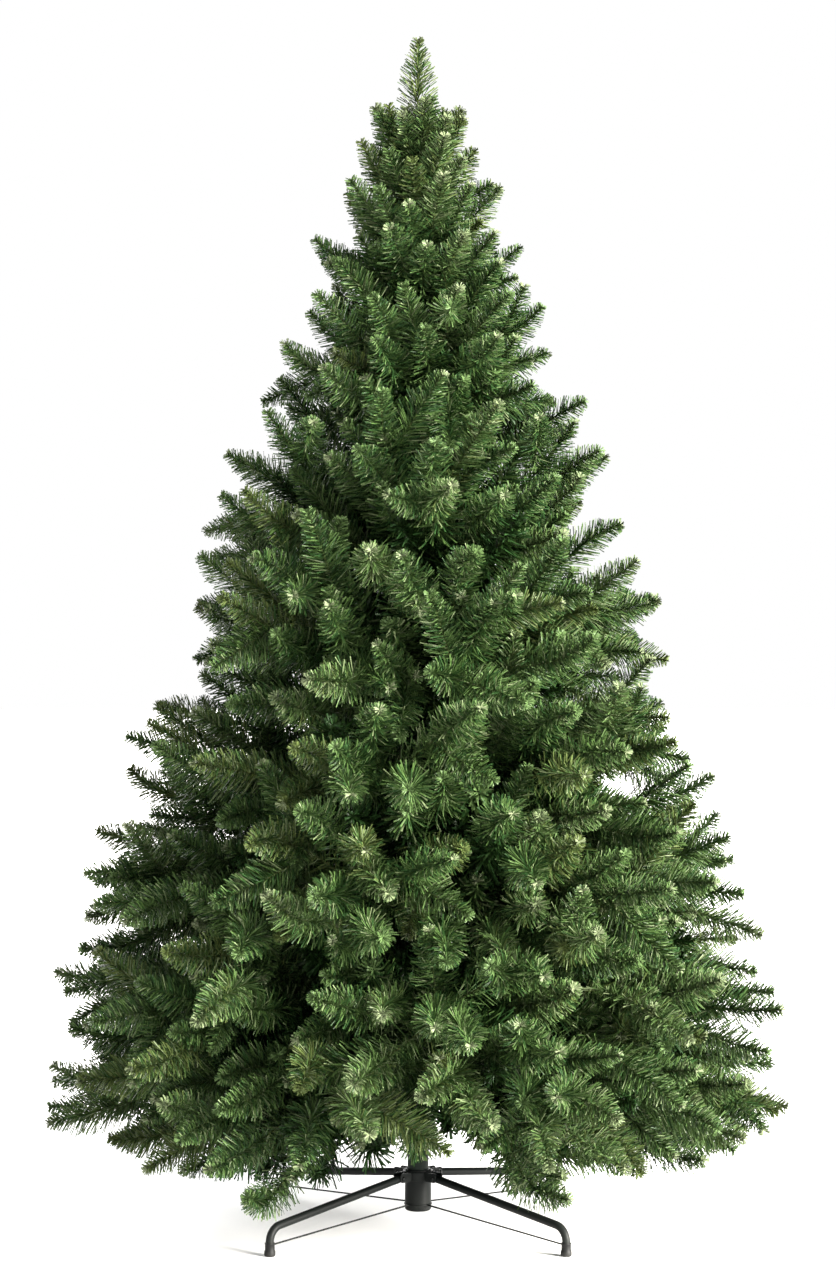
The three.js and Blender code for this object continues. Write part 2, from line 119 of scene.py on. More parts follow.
# Places (out, up) from the top edge of a section of the pole
POLE_END = ((0, -0.002), (-0.002, 0))
POLE_LIP = ((0, -0.006), (0.0012, -0.004), (0.0012, -0.001), (0, 0))
HINGE_WIDTH = 0.009
HINGE_HALF = 0.006
HINGE_EDGE = 0.0005
HINGE_SLOT = 0.0034
HINGE_CHEEK_FROM = 0.0002
PIN_SHARE = 0.62
PIN_HALF = 0.0062
PIN_RADIUS = 0.0014

# The top of the tree
WHORLS = ((5, 1.425, 1.575), (4, 1.5, 1.638), (3, 1.58, 1.7))
WHORL_TURN_DEG = 25
WHORL_SHARES = 3
WHORL_DROP = 0.06
WHORL_RECESS = 0.4
FINE_WHORLS = ((6, 1.38, 1.49), (4, 1.57, 1.695))
LEADER_ROOT = Vector((0, 0, POLE_TOP_Z))
SHOULDER = Vector((0, 0, WHORLS[-1][1]))

# The stand
TUBE_RADIUS = 0.02
TUBE_BASE_RADIUS = 0.015
TUBE_BOTTOM_Z = 0.022
TUBE_TOP_Z = 0.085
TUBE_EDGE = 0.004
TUBE_RIM = 0.0008
TUBE_MOUTH = 0.0006
BEAD = 0.0014
BEAD_Z = 0.032
COLLAR_EDGE = 0.001
CHEEK_THICK = 0.0016
CHEEK_ROUND = 0.005
RIVET_AT = 0.038
RIVET_RADIUS = 0.0025
RIVET_HALF = 0.0105
RIVET_DOME = 0.0006
RIVET_WIDTHS = (0.5, 1.25, 1.55, 1.0, 1.0, 1.55, 1.25, 0.5)
RING_NUDGE = 1e-6
LEG_RADIUS = 0.006
LEG_PLAY = 0.0003
LEG_ROOT = 0.028
LEG_ROOT_Z = 0.076
LEG_FIRST_STEP = 0.02
COLLAR_BAND = {"near": 0.0203, "far": 0.0233, "z": LEG_ROOT_Z, "half": 0.0065}
COLLAR_CHEEK = {"near": 0.0215, "far": 0.0445, "z": LEG_ROOT_Z, "half": 0.007}
LEG_SLOPE = 0.133
LEG_BEND = 0.022
FOOT_FROM_AXIS = 0.302
FOOT_FLOOR = 0.0053
BRACE_RADIUS = 0.0013
BRACE_RINGS = 10
BRACE_ENDS = ((0.0217, 0, BEAD_Z), (0.2945, 0, 0.016))
SCREW_PLACE = (0.0236, 0, 0.079)
LEGS = {"front_left": -135, "front_right": -45, "back_right": 45, "back_left": 135}

# Turned profiles of (radius, height), those of the screw from the collar outwards
FOOT_CAP = (
    (0, 0), (0.0066, 0), (0.0076, 0.0006), (0.0082, 0.002), (0.0082, 0.006), (0.0079, 0.0078),
    (0.0073, 0.0086), (0.0071, 0.0096), (0.0071, 0.0175), (0.0074, 0.0181), (0.0074, 0.0190),
    (0.0070, 0.0195), (LEG_RADIUS + LEG_PLAY, 0.0195), (LEG_RADIUS + LEG_PLAY, 0.005), (0, 0.005),
)
SHANK_RADII = (0.0020, 0.00175)
SHANK_RIBS = 18
SHANK_RIB_STEP = 0.0005
SHANK_END = ((0.0018, 0.0092), (0, 0.0092))
NUT = ((0, 0.0015), (0.0032, 0.0015), (0.0037, 0.0019), (0.0037, 0.0041), (0.0032, 0.0045), (0, 0.0045))
SCREW_HEAD = (
    (0, 0.009), (0.0038, 0.009), (0.0044, 0.0095), (0.0044, 0.0112), (0.0038, 0.0123),
    (0.0026, 0.0129), (0.0013, 0.013), (0.0011, 0.0122), (0, 0.0122),
)

# The finishes
SCUFF_SHARE = 0.2
SCUFF_TONE = 2.6
SCUFF_ROUGHNESS = 0.12
CLOUD_ROUGHNESS = 0.08
RUBBED_SHARE = 0.4
RUBBED_TONE = 2.2
RUBBED_ROUGHNESS = 0.2
ZINC_ROUGHNESS = (0.32, 0.2)
DUST = (0.2, 0.19, 0.17)
DUST_SHARE = 0.06
LOW_SPECULAR = 0.12

# The stage
FLOOR_HALF = 30
CLIP_END = 100
KEY_LIGHT = {"place": (3.8, -2.2, 1.3), "angle_deg": 30, "colour": (1.0, 0.96, 0.9)}
BACK_LIGHT = {"place": (-1.2, 4.2, 2.0), "angle_deg": 50, "colour": (1.0, 1.0, 1.0)}


# Settings


def number_setting(name, description, default, **kind):
    """A number that a user may change."""
    return bpy.props.FloatProperty(name=name, description=description, default=default, **kind)


def length_setting(name, description, default):
    """A length in metres."""
    return number_setting(name, description, default, unit="LENGTH")


def colour_setting(name, description, default):
    """A plain base colour."""
    return bpy.props.FloatVectorProperty(
        name=name, description=description, default=default, subtype="COLOR", size=3, min=0, max=1
    )


class NeedleSettings(bpy.types.PropertyGroup):
    """Sizes and colours of the foliage."""

    length: length_setting("Needle length", "Longest needle, from its wire to its tip", 0.043)
    width: length_setting("Needle width", "Widest place of a needle", 0.00215)
    pitch: length_setting("Needle pitch", "Length of wire for each needle", 0.00033)
    sweep: number_setting("Sweep", "Angle between a needle and its wire", math.radians(54), subtype="ANGLE")
    side_sprays: bpy.props.IntProperty(name="Side sprays", description="Sprays on each twig", default=2)
    # Deep green is dealt mostly to the sprays inside the tree as painted shade of its depths; the outer
    # sprays take a little of it as tone
    deep: colour_setting("Deep green", "Needles inside the tree", (0.0064, 0.0170, 0.0030))
    bottle: colour_setting("Bottle green", "Darker and cooler needles", (0.0155, 0.042, 0.0112))
    mid: colour_setting("Mid green", "Most of the needles", (0.0385, 0.0715, 0.019))
    leaf: colour_setting("Leaf green", "Brighter needles", (0.058, 0.098, 0.032))
    olive: colour_setting("Olive green", "Yellower needles", (0.058, 0.080, 0.023))
    # Light green is partly the needles' own tone and partly painted highlight, standing in for the glints of
    # the glossy film
    light: colour_setting("Light green", "The lightest needles", (0.107, 0.138, 0.067))
    cream: colour_setting("Cream", "The very ends of the sprays", (0.118, 0.143, 0.077))
    wire: colour_setting("Wire", "The twisted wire of the twigs", (0.058, 0.070, 0.024))


class MetalSettings(bpy.types.PropertyGroup):
    """Colours of the pole and the stand."""

    stand: colour_setting("Stand paint", "Charcoal paint of the tube and the legs", (0.0048, 0.0064, 0.0060))
    pole: colour_setting("Pole paint", "Green paint of the pole", (0.0055, 0.0105, 0.0075))
    rod: colour_setting("Bough rods", "Paint of the boughs' rods", (0.05, 0.06, 0.03))
    foot: colour_setting("Feet", "Plastic of the caps on the legs", (0.0048, 0.0052, 0.0052))
    screw: colour_setting("Clamp screw", "Dark zinc of the screw", (0.03, 0.032, 0.031))
    bracket_thickness: length_setting("Bracket", "Thickness of the hinge brackets", 0.0012)


class StageSettings(bpy.types.PropertyGroup):
    """The floor, the light and the camera."""

    distance: length_setting("Camera distance", "From the camera to the pole", 4.1)
    eye: length_setting("Camera height", "Height of the camera above the floor", 0.888)
    lens: number_setting("Lens", "Focal length", 75.85)
    key: number_setting("Key light", "Strength of the light at the right", 29.0)
    back: number_setting("Back light", "Strength of the light behind", 6.5)
    sky: number_setting("Sky", "Strength of the light from all round", 1.0)
    floor: colour_setting("Floor", "Colour of the floor", (0.88, 0.88, 0.88))


class TreeSettings(bpy.types.PropertyGroup):
    """Everything that a user may change."""

    needles: bpy.props.PointerProperty(type=NeedleSettings)
    metal: bpy.props.PointerProperty(type=MetalSettings)
    stage: bpy.props.PointerProperty(type=StageSettings)


# Shaders


class Value:
    """A socket of a finish, on which sums written in Python add Math nodes."""

    def __init__(self, finish, socket):
        self.finish = finish
        self.socket = socket

    def sum_with(self, operation, first, second):
        return self.finish.node("ShaderNodeMath", {"operation": operation}, {0: first, 1: second})

    def __add__(self, other):
        return self.sum_with("ADD", self, other)

    def __rsub__(self, other):
        return self.sum_with("SUBTRACT", other, self)

    def __mul__(self, other):
        return self.sum_with("MULTIPLY", self, other)

    __radd__ = __add__
    __rmul__ = __mul__


class Finish:
    """A material with a principled shader, and the nodes that feed it."""

    def __init__(self, name):
        self.material = bpy.data.materials.new(name)
        self.material.use_nodes = True
        self.tree = self.material.node_tree
        self.shader = self.tree.nodes["Principled BSDF"]

    def node(self, kind, settings=None, inputs=None, output=0):
        """Adds a node, sets it up, and returns one of its outputs."""
        made = self.tree.nodes.new(kind)
        for setting, value in (settings or {}).items():
            setattr(made, setting, value)
        for place, value in (inputs or {}).items():
            self.join(made.inputs[place], value)
        return Value(self, made.outputs[output])

    def join(self, socket, value):
        """Links a value to a socket, or sets the socket's own number or colour."""
        if isinstance(value, Value):
            self.tree.links.new(value.socket, socket)
        elif socket.type == "RGBA" and len(value) == 3:
            socket.default_value = (*value, 1)
        else:
            socket.default_value = value

    def surface(self, **inputs):
        """Sets or links the shader's sockets, named with _ for a space."""
        for name, value in inputs.items():
            self.join(self.shader.inputs[name.replace("_", " ").title().replace("Ior", "IOR")], value)

    def place(self):
        """Where a point of the surface lies, in metres."""
        return self.node("ShaderNodeTexCoord", output="Object")

    def noise(self, scale, detail=2.0, squeeze=None):
        """Soft noise from 0 to 1, squeezed by a factor for each axis."""
        at = self.place()
        if squeeze:
            at = self.node("ShaderNodeMapping", inputs={"Vector": at, "Scale": squeeze})
        return self.node("ShaderNodeTexNoise", inputs={"Vector": at, "Scale": scale, "Detail": detail})

    def band(self, value, low, high):
        """0 below low, 1 above high, and smooth between."""
        inputs = {"Value": value, "From Min": low, "From Max": high}
        return self.node("ShaderNodeMapRange", {"interpolation_type": "SMOOTHSTEP"}, inputs)

    def near_floor(self, top):
        """1 on the floor, 0 above a height, and smooth between."""
        height = self.node("ShaderNodeSeparateXYZ", inputs={"Vector": self.place()}, output="Z")
        return 1 - self.band(height, 0.0, top)

    def blend(self, share, under, over):
        """One colour over another by a share."""
        return self.node("ShaderNodeMix", {"data_type": "RGBA"}, {0: share, 6: under, 7: over}, output=2)

    def clouded(self, colour, cloud, spread):
        """A colour that a cloud makes darker and lighter by a share of it."""
        return self.blend(cloud, shade(colour, 1 - spread), shade(colour, 1 + spread))

    def relief(self, height, depth):
        """A bump of a depth in metres."""
        return self.node("ShaderNodeBump", inputs={"Height": height, "Distance": depth, "Strength": 1.0})


def shade(colour, factor):
    """A colour made darker or lighter."""
    return tuple(min(1.0, part * factor) for part in colour)


def painted_steel(name, colour, roughness, dust_top):
    """Sprayed paint: faint orange peel, cloudy tone, fine scuffs, and dust near the floor."""
    finish = Finish(name)
    cloud = finish.noise(scale=45, detail=3)
    streaks = finish.noise(scale=60, detail=6, squeeze=(3, 3, 14))
    scuffs = finish.band(streaks, low=0.58, high=0.72)
    tone = finish.clouded(colour, cloud, spread=0.22)
    worn = finish.blend(scuffs * SCUFF_SHARE, tone, shade(colour, SCUFF_TONE))
    dust = finish.near_floor(dust_top) * finish.noise(scale=160, detail=4)
    finish.surface(
        base_color=finish.blend(dust * DUST_SHARE, worn, DUST),
        roughness=roughness + SCUFF_ROUGHNESS * scuffs + CLOUD_ROUGHNESS * cloud,
        normal=finish.relief(finish.noise(scale=900), depth=0.00012),
        metallic=0.0,
        specular_ior_level=LOW_SPECULAR,
    )
    return finish.material


def moulded_plastic(name, colour, roughness):
    """Matt moulded plastic: fine grain, rubbed lighter in places, with dust at its foot."""
    finish = Finish(name)
    rubbed = finish.band(finish.noise(scale=220, detail=3), low=0.5, high=0.7)
    tone = finish.blend(rubbed * RUBBED_SHARE, colour, shade(colour, RUBBED_TONE))
    finish.surface(
        base_color=finish.blend(finish.near_floor(top=0.012) * DUST_SHARE, tone, DUST),
        roughness=roughness + RUBBED_ROUGHNESS * rubbed,
        specular_ior_level=0.2,
        normal=finish.relief(finish.noise(scale=1500, detail=3), depth=0.00015),
    )
    return finish.material


def dark_zinc(name, colour):
    """Zinc plating with cloudy tone and fine turned lines."""
    finish = Finish(name)
    cloud = finish.noise(scale=300, detail=3)
    lines = finish.noise(scale=2500, detail=1, squeeze=(1, 0.05, 0.05))
    finish.surface(
        base_color=finish.clouded(colour, cloud, spread=0.3),
        metallic=0.85,
        roughness=ZINC_ROUGHNESS[0] + ZINC_ROUGHNESS[1] * cloud,
        normal=finish.relief(lines, depth=0.00005),
    )
    return finish.material


def plain_film(name, colour, roughness):
    """The plain base colour of a kind of needle or wire."""
    finish = Finish(name)
    finish.surface(base_color=tuple(colour), roughness=roughness, specular_ior_level=LOW_SPECULAR)
    return finish.material


def matt_floor(name, colour):
    """A pale floor with the faintest cloudiness."""
    finish = Finish(name)
    tone = finish.clouded(colour, finish.noise(scale=2), spread=0.01)
    finish.surface(base_color=tone, roughness=0.9, specular_ior_level=0.1)
    return finish.material


# Meshes


class Shape:
    """Points and faces gathered for one piece."""

    def __init__(self):
        self.points = []
        self.corners = []
        self.sizes = []
        self.count = 0

    def add(self, points, *groups):
        """Adds points with groups of faces, each with a column for every corner of its faces."""
        points = np.asarray(points, float).reshape(-1, 3)
        for faces in groups:
            faces = np.asarray(faces, int)
            self.corners.append((faces + self.count).ravel())
            self.sizes.append(np.full(len(faces), faces.shape[1]))
        self.points.append(points)
        self.count += len(points)
        return self

    def mesh(self, name):
        """The mesh of what was gathered."""
        points = np.concatenate(self.points).astype(np.float32)
        corners = np.concatenate(self.corners).astype(np.int32)
        sizes = np.concatenate(self.sizes)
        starts = (np.cumsum(sizes) - sizes).astype(np.int32)
        made = bpy.data.meshes.new(name)
        made.vertices.add(len(points))
        made.vertices.foreach_set("co", points.ravel())
        made.loops.add(len(corners))
        made.loops.foreach_set("vertex_index", corners)
        made.polygons.add(len(sizes))
        made.polygons.foreach_set("loop_start", starts)
        made.update(calc_edges=True)
        made.validate()
        return made


def add_object(name, data):
    """Puts an object in the scene."""
    made = bpy.data.objects.new(name, data)
    bpy.context.scene.collection.objects.link(made)
    return made


def add_piece(name, shape, material, replaced=(), smooth_deg=40):
    """Makes a piece of the tree that rides on its one body."""
    mesh = shape.mesh(name)
    mesh.materials.append(material)
    if smooth_deg:
        mesh.shade_smooth()
        mesh.set_sharp_from_angle(angle=math.radians(smooth_deg))
    piece = add_object(name, mesh)
    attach(piece, "root")
    if replaced:
        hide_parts(*replaced)


def strip_faces(rings, sides):
    """The quads between closed rings of points."""
    ring = np.arange(rings - 1)[:, None] * sides
    side = np.arange(sides)[None, :]
    after = (side + 1) % sides
    quads = [ring + side, ring + after, ring + sides + after, ring + sides + side]
    return np.stack(quads, axis=-1).reshape(-1, 4)


NEARLY_UPRIGHT = 0.9


def frames_along(points):
    """For each point of a path, two directions square to it that don't turn about it."""
    steps = np.diff(points, axis=0)
    tangents = np.vstack([steps[:1], steps[:-1] + steps[1:], steps[-1:]])
    tangents /= np.linalg.norm(tangents, axis=1)[:, None]
    guide = np.array([0.0, 0.0, 1.0] if abs(tangents[0][2]) < NEARLY_UPRIGHT else [1.0, 0.0, 0.0])
    firsts = []
    for tangent in tangents:
        guide = guide - tangent * guide.dot(tangent)
        guide /= np.linalg.norm(guide)
        firsts.append(guide)
    firsts = np.array(firsts)
    return firsts, np.cross(tangents, firsts)


def swept(points, section, radii, twist=0.0):
    """A section of (x, y) places swept along a path, with a radius and a twist from ring to ring."""
    points = np.asarray(points, float)
    first, second = frames_along(points)
    section = np.asarray(section, float)
    radii = np.broadcast_to(radii, len(points))[:, None]
    turn = (np.arange(len(points)) * twist)[:, None]
    x = (section[None, :, 0] * np.cos(turn) - section[None, :, 1] * np.sin(turn)) * radii
    y = (section[None, :, 0] * np.sin(turn) + section[None, :, 1] * np.cos(turn)) * radii
    rings = points[:, None] + x[..., None] * first[:, None] + y[..., None] * second[:, None]
    return rings.reshape(-1, 3), strip_faces(len(points), len(section))


def circle(sides):
    """A round section."""
    angles = np.arange(sides) * 2 * np.pi / sides
    return np.stack([np.cos(angles), np.sin(angles)], axis=1)


def add_tube(shape, points, radii, sides):
    """A round rod along a path, with flat ends."""
    rings, faces = swept(points, circle(sides), radii)
    ends = np.array([np.arange(sides)[::-1], np.arange(sides) + len(rings) - sides])
    return shape.add(rings, faces, ends)


def add_turned(shape, profile, sides=64, matrix=None):
    """A turned form from a profile of (radius, height)."""
    profile = np.asarray(profile, float)
    x, y = profile[:, None, 0] * circle(sides).T[:, None]
    z = np.broadcast_to(profile[:, None, 1], x.shape)
    rings = np.stack([x, y, z], axis=-1).reshape(-1, 3)
    if matrix is not None:
        rings = rings @ np.array(matrix.to_3x3()).T + np.array(matrix.translation)
    return shape.add(rings, strip_faces(len(profile), sides))


def bent(shares, start, bend, end):
    """Points of a smooth bend."""
    shares = np.asarray(shares, float)[:, None]
    return (1 - shares) ** 2 * start + 2 * shares * (1 - shares) * bend + shares**2 * end


MOST_OF_SIDE = 0.45


def rounded(profile, radius, steps):
    """A closed profile whose corners are rounded off."""
    corners = [np.array(point, float) for point in profile]
    eased = []
    for index, corner in enumerate(corners):
        before = corners[index - 1] - corner
        after = corners[(index + 1) % len(corners)] - corner
        lengths = np.linalg.norm(before), np.linalg.norm(after)
        reach = min(radius, MOST_OF_SIDE * min(lengths))
        start = corner + before / lengths[0] * reach
        end = corner + after / lengths[1] * reach
        eased += list(bent(np.arange(steps + 1) / steps, start, corner, end))
    return eased


def arc(x, z, radius, start, end, places=9):
    """Places (x, z) on an arc round a centre, between two angles counted from straight down."""
    angles = np.linspace(start, end, places)
    return list(zip(x + radius * np.sin(angles), z - radius * np.cos(angles)))


def upright(near, far, z, half):
    """The (x, z) corners of an upright rectangle."""
    return [(near, z - half), (far, z - half), (far, z + half), (near, z + half)]


def around(azimuth_deg, radius, z):
    """A point by its azimuth, its distance from the axis and its height."""
    angle = math.radians(azimuth_deg)
    return Vector((radius * math.cos(angle), radius * math.sin(angle), z))


def turned_about_axis(points, azimuth_deg):
    """Points turned about the tree's axis."""
    turn = np.array(Matrix.Rotation(math.radians(azimuth_deg), 3, "Z"))
    return np.asarray(points, float) @ turn.T


# The canopy's rule


def chance(*numbers):
    """A repeatable number from 0 to 1."""
    total = sum(number * weight for number, weight in zip(numbers, SCRAMBLE))
    return (math.sin(total) * SCRAMBLE_SCALE) % 1.0


def between(low, high, *numbers):
    """A repeatable number between two others."""
    return low + (high - low) * chance(*numbers)


def canopy_radius(z):
    """The canopy's outline."""
    if z < HEM_Z:
        return CANOPY_RADIUS - HEM_SLOPE * (HEM_Z - z)
    if z < SHOULDER_Z:
        return CANOPY_RADIUS
    share = max(0.0, (TREE_HEIGHT - z) / (TREE_HEIGHT - SHOULDER_Z))
    return CANOPY_RADIUS * share**CONE_POWER


def tip_z(level):
    return LOWEST_TIP_Z + TIER_STEP * level + TIER_STEP_GROWTH * level * level


def rise(level):
    return math.tan(math.radians(LOWEST_RISE_DEG + RISE_PER_TIER_DEG * level))


def root_z(level):
    return tip_z(level) - canopy_radius(tip_z(level)) * rise(level)


def height_at(level, radius):
    return root_z(level) + radius * rise(level)


def pole_radius(z):
    return next(radius for top, radius in POLE_SECTIONS if z <= top)


def spray_reach(tier):
    return min(SPRAY_LENGTH, MOST_OF_REACH * canopy_radius(tip_z(tier)))


def every_bough():
    """Every bough's tier, place, azimuth and half wedge."""
    for tier, count in enumerate(BOUGHS_PER_TIER):
        for place in range(count):
            wedge = 360 / count
            yield tier, place, tier * TIER_TURN_DEG + place * wedge, wedge / 2


def limb_of(tier, azimuth):
    """The hinge, the fork and the tip of a bough."""
    hinge = pole_radius(root_z(tier)) + HINGE_WIDTH / 2
    reach = canopy_radius(tip_z(tier))
    fork = reach - spray_reach(tier)
    return (
        around(azimuth, hinge, root_z(tier)),
        around(azimuth, fork, height_at(tier, fork) + STEM_ARCH),
        around(azimuth, reach, tip_z(tier)),
    )


def place_at(level, azimuth, recess):
    """A place at a level of the tiers, somewhat within the outline."""
    radius = canopy_radius(tip_z(level)) * (1 - recess)
    return around(azimuth, radius, height_at(level, radius))


def twig_tip(tier, place, azimuth, half, twig):
    """The tip of a twig on the outline, as in the solids."""
    turn = (twig * GOLDEN + chance(tier, place, 0, DRAW_TURN)) % 1
    side = (HANGING_SPREAD if tier == 0 and twig == 0 else TWIG_SPREAD) * (2 * turn - 1)
    climb = TWIG_CLIMB * ((2 * twig + 1) / TWIGS_PER_BOUGH[tier] - 1)
    return place_at(tier + climb / 2, azimuth + side * half, RECESS * chance(tier, place, twig, DRAW_RECESS))


def finer_tip(tier, azimuth, half, seed, recesses, lowest):
    """The tip of a finer twig, in its bough's share of the outline and somewhat within it."""
    level = max(tier + FINE_CLIMB * (chance(*seed, DRAW_FINE_LEVEL) - 0.5), lowest)
    recess = between(*recesses, *seed, DRAW_FINE_RECESS)
    return place_at(level, azimuth + between(-1, 1, *seed, DRAW_FINE_SIDE) * half, recess)


def twig_root(start, fork, tip, least, lean_deg=TWIG_LEAN_DEG, first=FIRST_TWIG):
    """The place on the stem that a twig leaves from, at least so far back from its tip."""
    stem = fork - start
    reach = tip - start
    along = reach.dot(stem) / stem.length
    aside = math.sqrt(max(0.0, reach.length_squared - along**2))
    back = max(aside / math.tan(math.radians(lean_deg)), least)
    share = min(max((along - back) / stem.length, first), LAST_TWIG)
    return start + stem * share


# Sprays


class Spray(NamedTuple):
    """A twig with needles: a bent path from its root to its tip, and how it is dressed."""

    root: Vector
    bend: Vector
    tip: Vector
    seed: tuple
    mix: str
    size: float = 1.0
    width: float = 1.0
    thinness: float = 1.0

    def length(self):
        return (self.tip - self.root).length

    def line(self):
        """The root, the bend and the tip as arrays."""
        return [np.array(point) for point in (self.root, self.bend, self.tip)]

    def path(self, shares):
        """Points of the path."""
        return bent(shares, *self.line())

    def heading(self, shares):
        """Directions of the path, of unit length."""
        shares = np.asarray(shares, float)[:, None]
        root, bend, tip = self.line()
        ways = 2 * (1 - shares) * (bend - root) + 2 * shares * (tip - bend)
        return ways / np.linalg.norm(ways, axis=1)[:, None]


TONES = ("deep", "bottle", "mid", "leaf", "olive", "light", "cream")
MIXES = {
    # The shaded mix is painted shade: dark sprays put in the tree's depths and on the boughs' stems
    "shaded": {"deep": 0.6, "bottle": 0.4},
    "cool": {"deep": 0.1, "bottle": 0.35, "mid": 0.37, "leaf": 0.12, "light": 0.06},
    "plain": {"deep": 0.08, "bottle": 0.22, "mid": 0.4, "leaf": 0.2, "light": 0.1},
    "warm": {"deep": 0.05, "bottle": 0.12, "mid": 0.28, "olive": 0.43, "light": 0.12},
    "bright": {"bottle": 0.12, "mid": 0.25, "leaf": 0.4, "olive": 0.08, "light": 0.15},
}
OUTER_MIXES = {"cool": 0.22, "plain": 0.36, "warm": 0.22, "bright": 0.2}
# Above UPPER_Z the sprays lean to darker mixes: painted shade that evens out the extra sky light on the open
# upper part
UPPER_MIXES = {"cool": 0.56, "plain": 0.28, "warm": 0.08, "bright": 0.08}
UPPER_Z = 1.15
TOP_MIXES = {"cool": 0.06, "plain": 0.2, "warm": 0.28, "bright": 0.46}
TOP_Z = 1.5
SPRAY_SAG = 0.08
OUTWARD_BEND = 0.75
STRAY = 0.6
SPACING_AT_AXIS = 0.6

# The layers of finer twigs, from the outline inwards: where and how far apart they end, how they leave
# their stems, and how they are dressed
OUTER_LAYER = {"shift": 0.4, "recesses": (0.03, 0.22), "lowest": -0.3, "spacing": 0.088}
MIDDLE_LAYER = {
    "shift": 0.7,
    "recesses": (0.2, 0.46),
    "lowest": -0.45,
    "spacing": 0.066,
    "leaving": {"first": 0.1},
    # A share of the middle layer takes the shaded mix as painted shade
    "mixes": {"shaded": 0.35, "cool": 0.4, "plain": 0.25},
    "dress": {"size": 1.15, "width": 1.65, "thinness": 0.42},
}
INNER_LAYER = {
    "shift": 0.2,
    "recesses": (0.46, 0.95),
    "lowest": -0.4,
    "spacing": 0.063,
    "least": 0.07,
    "leaving": {"lean_deg": 65, "first": 0.0},
    # The inner layer takes only the shaded mix: painted shade filling the depths
    "mixes": {"shaded": 1.0},
    "dress": {"size": 1.35, "width": 3.6, "thinness": 0.22},
}
CANDIDATES = 120
HEM_TOP_Z = 0.36
HEM_CLOSENESS = 0.86
OPEN_HALF_WIDTH = 0.14
OPEN_Z = 0.122
OPEN_SLOPE = 0.16

# The side sprays
SIDE_SPACING = 0.06
SIDE_SPRAY_LENGTH = 0.15
SIDE_OF_TWIG = 0.8
SIDE_SIZES = (0.85, 1.15)
SIDE_LEAN = math.radians(48)
SIDE_TURN_SCATTER = math.radians(60)
SIDE_SHARES = (0.36, 0.6)
SIDE_REACH = 0.98
SIDE_SEED_STEP = 0.31
SIDE_PLACE_STEP = 0.23
SHORTENINGS = (1.0, 0.85, 0.7)
LOWEST_SIDE_TIP_Z = 0.15

# The boughs' rods
STEM_RISE = 0.004
STEM_THINNESS = 0.35


def dealt(shares, draw):
    """The name that a draw from 0 to 1 falls on."""
    total = 0.0
    for name, share in shares.items():
        total += share
        if draw < total:
            return name
    return name


def spray_between(root, tip, seed, mix=None, tier=None, **dress):
    """A spray with the sag and the mix of tones of its seed. One of a tier ends in line with its boughs."""
    length = (tip - root).length
    bend = (root + tip) / 2
    if tier is not None:
        stray = Vector([between(-1, 1, *seed, DRAW_STRAY + axis) for axis in range(3)]) * STRAY
        outward = (Vector((tip.x, tip.y, 0)).normalized() + UP * rise(tier) + stray).normalized()
        bend = bend.lerp(tip - outward * length / 2, OUTWARD_BEND)
    bend = bend + UP * (length * SPRAY_SAG * between(-1, 1, *seed, DRAW_SAG))
    mixes = TOP_MIXES if tip.z > TOP_Z else UPPER_MIXES if tip.z > UPPER_Z else OUTER_MIXES
    return Spray(root, bend, tip, seed, mix or dealt(mixes, chance(*seed, DRAW_MIX)), **dress)


class Canopy:
    """The sprays so far, and the places of their tips."""

    def __init__(self):
        self.sprays = []
        self.tips = []

    def add(self, spray):
        self.sprays.append(spray)
        self.tips.append(tuple(spray.tip))

    def is_free(self, tip, spacing):
        """Whether no tip is nearer than a distance, which is less near the axis and at the hem."""
        closeness = HEM_CLOSENESS if tip.z < HEM_TOP_Z else 1.0
        spacing *= min(1.0, SPACING_AT_AXIS + canopy_radius(tip.z)) * closeness
        gaps = np.array(self.tips) - np.array(tip)
        return float((gaps**2).sum(axis=1).min()) > spacing**2


def hides_stand(tip):
    """Whether a place hangs under the middle of the hem, where the stand's tube shows."""
    return abs(tip.x) < OPEN_HALF_WIDTH and tip.z < OPEN_Z + OPEN_SLOPE * math.hypot(tip.x, tip.y)


def side_spray(spray, number, share, turn, length):
    """A spray that leaves another at a share of its length, or nothing where it would pass the outline."""
    seed = (spray.seed[0] + SIDE_SEED_STEP * (number + 1), spray.seed[1], spray.seed[2])
    along = Vector(spray.heading([share])[0])
    aside = Matrix.Rotation(turn, 3, along) @ along.cross(UP).normalized()
    root = Vector(spray.path([share])[0])
    way = along * math.cos(SIDE_LEAN) + aside * math.sin(SIDE_LEAN)
    for shortened in SHORTENINGS:
        tip = root + way * length * shortened
        inside = math.hypot(tip.x, tip.y) < SIDE_REACH * canopy_radius(tip.z)
        if inside and tip.z > LOWEST_SIDE_TIP_Z and not hides_stand(tip):
            return spray_between(root, tip, seed)


def add_side_sprays(canopy, spray, count):
    """Adds sprays at both sides of a twig where there is room."""
    for number in range(count):
        seed = (spray.seed[0], spray.seed[1] + SIDE_PLACE_STEP * (number + 1), spray.seed[2])
        share = between(*SIDE_SHARES, *seed, DRAW_SAG)
        turn = math.pi * (number + chance(*seed, DRAW_TURN))
        turn += SIDE_TURN_SCATTER * chance(*seed, DRAW_SIDE_TURN)
        length = min(SIDE_SPRAY_LENGTH, SIDE_OF_TWIG * spray.length())
        length *= between(*SIDE_SIZES, *seed, DRAW_SIDE_LENGTH)
        side = side_spray(spray, number, share, turn, length)
        if side and canopy.is_free(side.tip, SIDE_SPACING):
            canopy.add(side)


